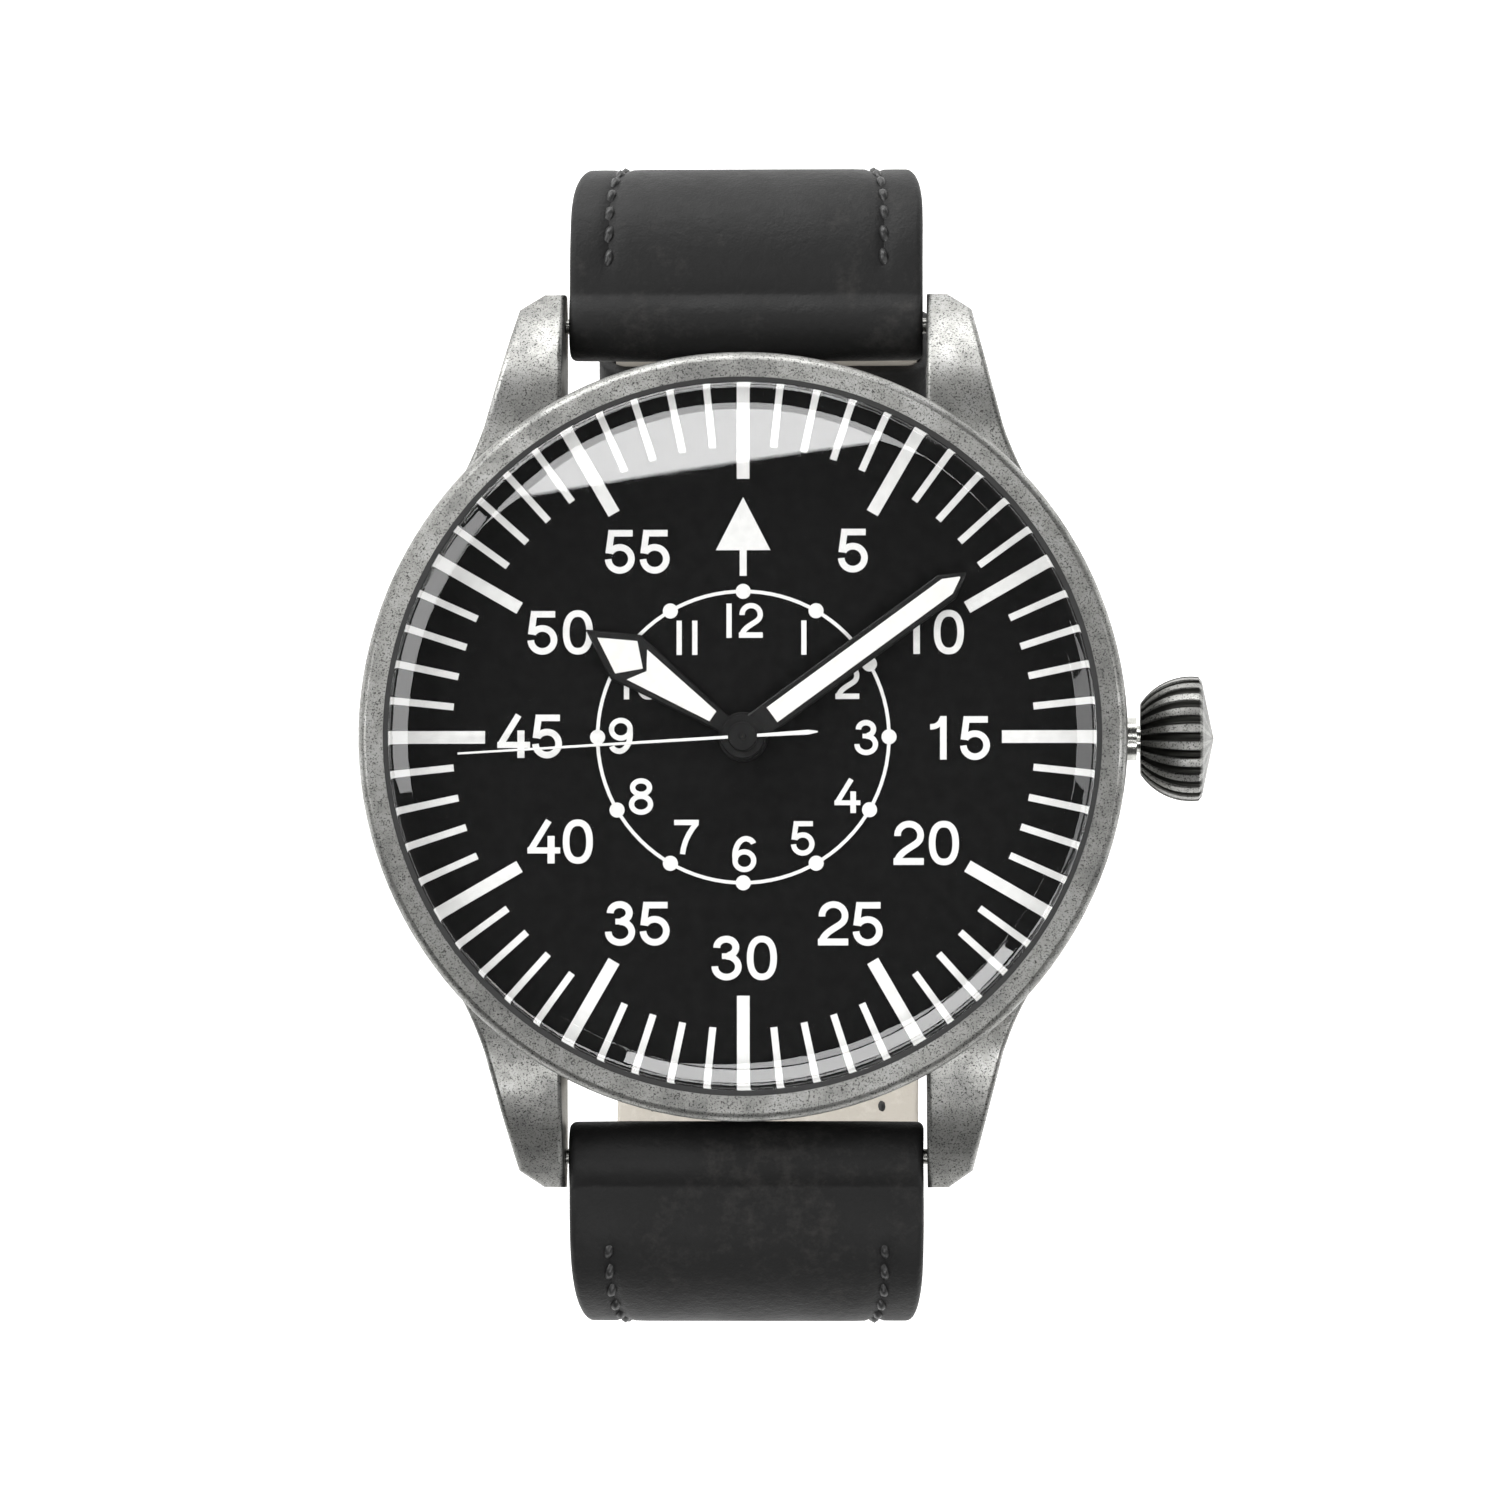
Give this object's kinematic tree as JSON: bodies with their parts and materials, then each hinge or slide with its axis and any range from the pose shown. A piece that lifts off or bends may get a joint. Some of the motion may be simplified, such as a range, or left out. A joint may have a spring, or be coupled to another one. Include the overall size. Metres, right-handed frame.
{
  "type": "pilot watch",
  "caption": "Round hand-wound pilot watch with a ribbed crown and a closed leather pin-buckle strap, the movement inside modelled and geared.",
  "frame": {"origin": "centre of the flat outer face of the case back", "axes": "+Z out through the dial, +Y towards twelve o'clock, +X towards the crown at three o'clock; the buckled strap loop hangs below"},
  "size_m": [0.0468, 0.0646, 0.055],
  "materials": {
    "case_steel": "bead blasted, worn",
    "bright_steel": "satin",
    "crystal_glass": "polished",
    "dial_black": "matte",
    "luminous_white": "matte, slightly grainy",
    "hand_black": "satin",
    "gasket_rubber": "matte",
    "strap_leather": "matte, grained",
    "lining_leather": "smooth",
    "movement_brass": "fine turned",
    "movement_nickel": "fine ground, nickel plated",
    "spring_steel": "polished",
    "ruby": "polished",
    "holder_plastic": "moulded"
  },
  "bodies": {
    "head": {"case_middle": "case_steel", "case_back": "case_steel", "case_back_gasket": "gasket_rubber", "bezel": "case_steel", "crystal": "crystal_glass", "crystal_gasket": "gasket_rubber", "rehaut_ring": "dial_black", "crown_tube": "bright_steel", "dial": "dial_black", "dial_markings": "luminous_white", "main_plate": "movement_nickel", "barrel_bridge": "movement_nickel", "train_bridge": "movement_nickel", "balance_cock": "movement_nickel", "pallet_bridge": "movement_nickel", "jewels": "ruby", "hairspring": "spring_steel", "bridge_screws": "bright_steel", "movement_holder": "holder_plastic", "casing_clamps": "bright_steel", "casing_screws": "bright_steel", "spring_bar_12": "bright_steel", "spring_bar_6": "bright_steel", "strap_buckle_half": "strap_leather", "strap_buckle_lining": "lining_leather", "strap_hole_half": "strap_leather", "strap_hole_lining": "lining_leather", "fixed_keeper": "strap_leather"},
    "second_work": {"second_hand": "hand_black", "fourth_wheel": "movement_brass"},
    "minute_work": {"center_wheel": "movement_brass", "cannon_pinion": "spring_steel", "minute_hand": "hand_black", "minute_hand_lume": "luminous_white"},
    "hour_work": {"hour_wheel": "movement_brass", "hour_hand": "hand_black", "hour_hand_lume": "luminous_white"},
    "minute_wheel": {"minute_wheel": "movement_brass"},
    "third_wheel": {"third_wheel": "movement_brass"},
    "barrel": {"mainspring_barrel": "movement_brass", "barrel_cover": "movement_brass", "mainspring": "spring_steel"},
    "escape_wheel": {"escape_wheel": "spring_steel"},
    "pallet_fork": {"pallet_fork": "spring_steel"},
    "balance": {"balance_wheel": "movement_brass"},
    "crown_carrier": {"crown_gasket": "gasket_rubber"},
    "crown": {"crown": "case_steel", "winding_stem": "bright_steel"},
    "winding_pinion": {"winding_pinion": "spring_steel"},
    "yoke": {"yoke": "spring_steel"},
    "sliding_pinion": {"sliding_pinion": "spring_steel"},
    "setting_lever": {"setting_lever": "spring_steel"},
    "crown_wheel": {"crown_wheel": "spring_steel"},
    "ratchet": {"ratchet_wheel": "spring_steel", "barrel_arbor": "spring_steel"},
    "click": {"click": "spring_steel"},
    "buckle": {"buckle_frame": "bright_steel", "buckle_bar": "bright_steel"},
    "tongue": {"buckle_tongue": "bright_steel"},
    "free_keeper": {"free_keeper": "strap_leather"}
  },
  "joints": [
    {"name": "seconds", "type": "hinge", "parent": "head", "child": "second_work", "pos_m": [0, 0, 0.003], "axis": [0, 0, -1], "continuous": true},
    {"name": "minutes", "type": "hinge", "parent": "head", "child": "minute_work", "pos_m": [0, 0, 0.0036], "axis": [0, 0, -1], "continuous": true},
    {"name": "hours", "type": "hinge", "parent": "head", "child": "hour_work", "pos_m": [0, 0, 0.0065], "axis": [0, 0, -1], "continuous": true},
    {"name": "minute_wheel_turn", "type": "hinge", "parent": "head", "child": "minute_wheel", "pos_m": [0.002, -0.00346, 0.0061], "axis": [0, 0, -1], "continuous": true},
    {"name": "third_wheel_turn", "type": "hinge", "parent": "head", "child": "third_wheel", "pos_m": [-0.00423, -0.00154, 0.0033], "axis": [0, 0, -1], "continuous": true},
    {"name": "barrel_turn", "type": "hinge", "parent": "head", "child": "barrel", "pos_m": [0.00375, 0.0065, 0.004], "axis": [0, 0, -1], "continuous": true},
    {"name": "escape_turn", "type": "hinge", "parent": "head", "child": "escape_wheel", "pos_m": [-0.00038, -0.00433, 0.0038], "axis": [0, 0, -1], "continuous": true},
    {"name": "pallet_rock", "type": "hinge", "parent": "head", "child": "pallet_fork", "pos_m": [-0.00123, -0.00668, 0.0038], "axis": [0, 0, 1], "range_deg": [-5, 5]},
    {"name": "balance_swing", "type": "hinge", "parent": "head", "child": "balance", "pos_m": [-0.00378, -0.00923, 0.003], "axis": [0, 0, 1], "range_deg": [-270, 270], "stiffness_Nm_per_rad": 0.0000001},
    {"name": "crown_pull", "type": "slide", "parent": "head", "child": "crown_carrier", "axis": [1, 0, 0], "range_m": [0, 0.0008]},
    {"name": "crown_spin", "type": "hinge", "parent": "crown_carrier", "child": "crown", "pos_m": [0.0225, 0, 0.0037], "axis": [1, 0, 0], "continuous": true},
    {"name": "winding_pinion_turn", "type": "hinge", "parent": "head", "child": "winding_pinion", "pos_m": [0.0125, 0, 0.0037], "axis": [1, 0, 0], "continuous": true},
    {"name": "yoke_slide", "type": "slide", "parent": "head", "child": "yoke", "axis": [1, 0, 0], "range_m": [-0.00057, 0]},
    {"name": "sliding_pinion_turn", "type": "hinge", "parent": "yoke", "child": "sliding_pinion", "pos_m": [0.0105, 0, 0.0037], "axis": [1, 0, 0], "continuous": true},
    {"name": "setting_lever_turn", "type": "hinge", "parent": "head", "child": "setting_lever", "pos_m": [0.0139, 0.0026, 0.0061], "axis": [0, 0, 1], "range_deg": [0, 17.7]},
    {"name": "crown_wheel_turn", "type": "hinge", "parent": "head", "child": "crown_wheel", "pos_m": [0.01139, 0.00301, 0.002], "axis": [0, 0, 1], "continuous": true},
    {"name": "ratchet_turn", "type": "hinge", "parent": "head", "child": "ratchet", "pos_m": [0.00375, 0.0065, 0.002], "axis": [0, 0, 1], "continuous": true},
    {"name": "click_lift", "type": "hinge", "parent": "head", "child": "click", "pos_m": [-0.00022, 0.01158, 0.002], "axis": [0, 0, -1], "range_deg": [0, 8]},
    {"name": "buckle_swing", "type": "hinge", "parent": "head", "child": "buckle", "pos_m": [0, -0.004, -0.038], "axis": [1, 0, 0], "range_deg": [0, 6]},
    {"name": "tongue_swing", "type": "hinge", "parent": "head", "child": "tongue", "pos_m": [0, -0.004, -0.038], "axis": [1, 0, 0], "range_deg": [0, 6]},
    {"name": "free_keeper_slide", "type": "hinge", "parent": "head", "child": "free_keeper", "pos_m": [0, 0.0131, -0.0207], "axis": [1, 0, 0], "range_deg": [-14, 14]}
  ],
  "couplings": [
    {"joint": "minutes", "follows": "seconds", "ratio": 0.016667},
    {"joint": "hours", "follows": "seconds", "ratio": 0.0013889},
    {"joint": "minute_wheel_turn", "follows": "seconds", "ratio": -0.0055556},
    {"joint": "third_wheel_turn", "follows": "seconds", "ratio": -0.13333},
    {"joint": "barrel_turn", "follows": "seconds", "ratio": -0.0027778},
    {"joint": "escape_turn", "follows": "seconds", "ratio": -10},
    {"joint": "winding_pinion_turn", "follows": "crown_spin", "ratio": 1},
    {"joint": "sliding_pinion_turn", "follows": "crown_spin", "ratio": 1},
    {"joint": "crown_wheel_turn", "follows": "crown_spin", "ratio": 0.5},
    {"joint": "ratchet_turn", "follows": "crown_spin", "ratio": -0.27907},
    {"joint": "yoke_slide", "follows": "crown_pull", "ratio": -0.7},
    {"joint": "setting_lever_turn", "follows": "crown_pull", "rad_per_m": 384.6},
    {"joint": "tongue_swing", "follows": "buckle_swing", "ratio": 1}
  ]
}
